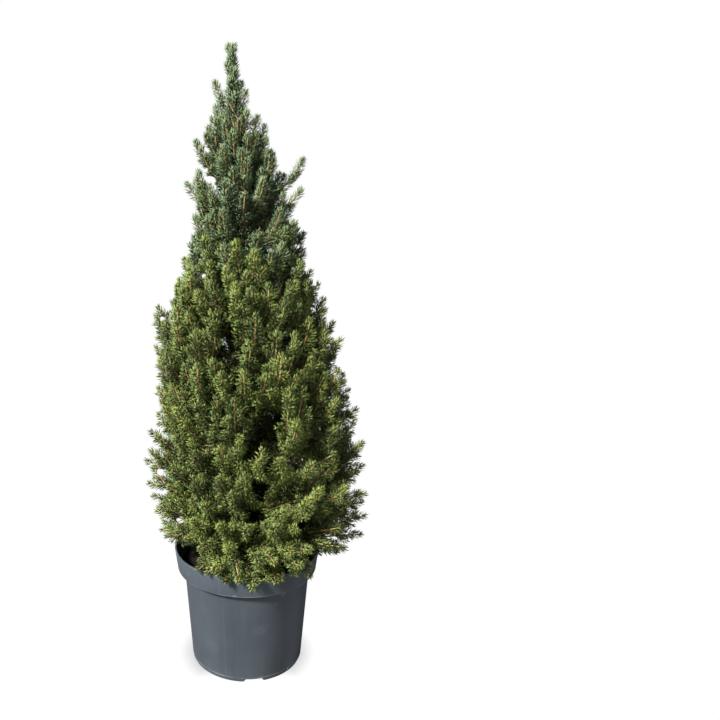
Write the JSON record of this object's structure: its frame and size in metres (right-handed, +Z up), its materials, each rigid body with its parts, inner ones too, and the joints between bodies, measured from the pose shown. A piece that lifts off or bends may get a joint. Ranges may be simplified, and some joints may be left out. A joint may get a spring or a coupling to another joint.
{
  "type": "potted dwarf alberta spruce",
  "caption": "Dwarf conical spruce with dense ascending needled shoots round one leader, growing in compost in a round collared plastic nursery pot.",
  "frame": {"origin": "middle of the pot's flat underside", "axes": "+Z up along the pot's axis; -Y is the plant's front as pictured; +X is to the right"},
  "size_m": [0.3952, 0.3633, 1.066],
  "materials": {
    "pot": "matte moulded, slate grey",
    "soil": "rough, moist peat compost",
    "bark": "rough, orange-brown bark",
    "foliage": "satin needles, olive to blue-green"
  },
  "bodies": {
    "root": {"leader_foliage": "foliage", "pot": "pot", "soil": "soil", "tier1_bough_1": "bark", "tier1_bough_2": "bark", "tier1_bough_3": "bark", "tier1_bough_4": "bark", "tier1_bough_5": "bark", "tier1_bough_6": "bark", "tier1_foliage_1": "foliage", "tier1_foliage_2": "foliage", "tier1_foliage_3": "foliage", "tier1_foliage_4": "foliage", "tier1_foliage_5": "foliage", "tier1_foliage_6": "foliage", "tier2_bough_1": "bark", "tier2_bough_2": "bark", "tier2_bough_3": "bark", "tier2_bough_4": "bark", "tier2_bough_5": "bark", "tier2_bough_6": "bark", "tier2_foliage_1": "foliage", "tier2_foliage_2": "foliage", "tier2_foliage_3": "foliage", "tier2_foliage_4": "foliage", "tier2_foliage_5": "foliage", "tier2_foliage_6": "foliage", "tier3_bough_1": "bark", "tier3_bough_2": "bark", "tier3_bough_3": "bark", "tier3_bough_4": "bark", "tier3_bough_5": "bark", "tier3_foliage_1": "foliage", "tier3_foliage_2": "foliage", "tier3_foliage_3": "foliage", "tier3_foliage_4": "foliage", "tier3_foliage_5": "foliage", "tier4_bough_1": "bark", "tier4_bough_2": "bark", "tier4_bough_3": "bark", "tier4_bough_4": "bark", "tier4_bough_5": "bark", "tier4_foliage_1": "foliage", "tier4_foliage_2": "foliage", "tier4_foliage_3": "foliage", "tier4_foliage_4": "foliage", "tier4_foliage_5": "foliage", "tier5_foliage_1": "foliage", "tier5_foliage_2": "foliage", "tier5_foliage_3": "foliage", "tier5_foliage_4": "foliage", "tier6_foliage_1": "foliage", "tier6_foliage_2": "foliage", "tier6_foliage_3": "foliage", "tier7_foliage_1": "foliage", "tier7_foliage_2": "foliage", "trunk": "bark"}
  },
  "joints": []
}
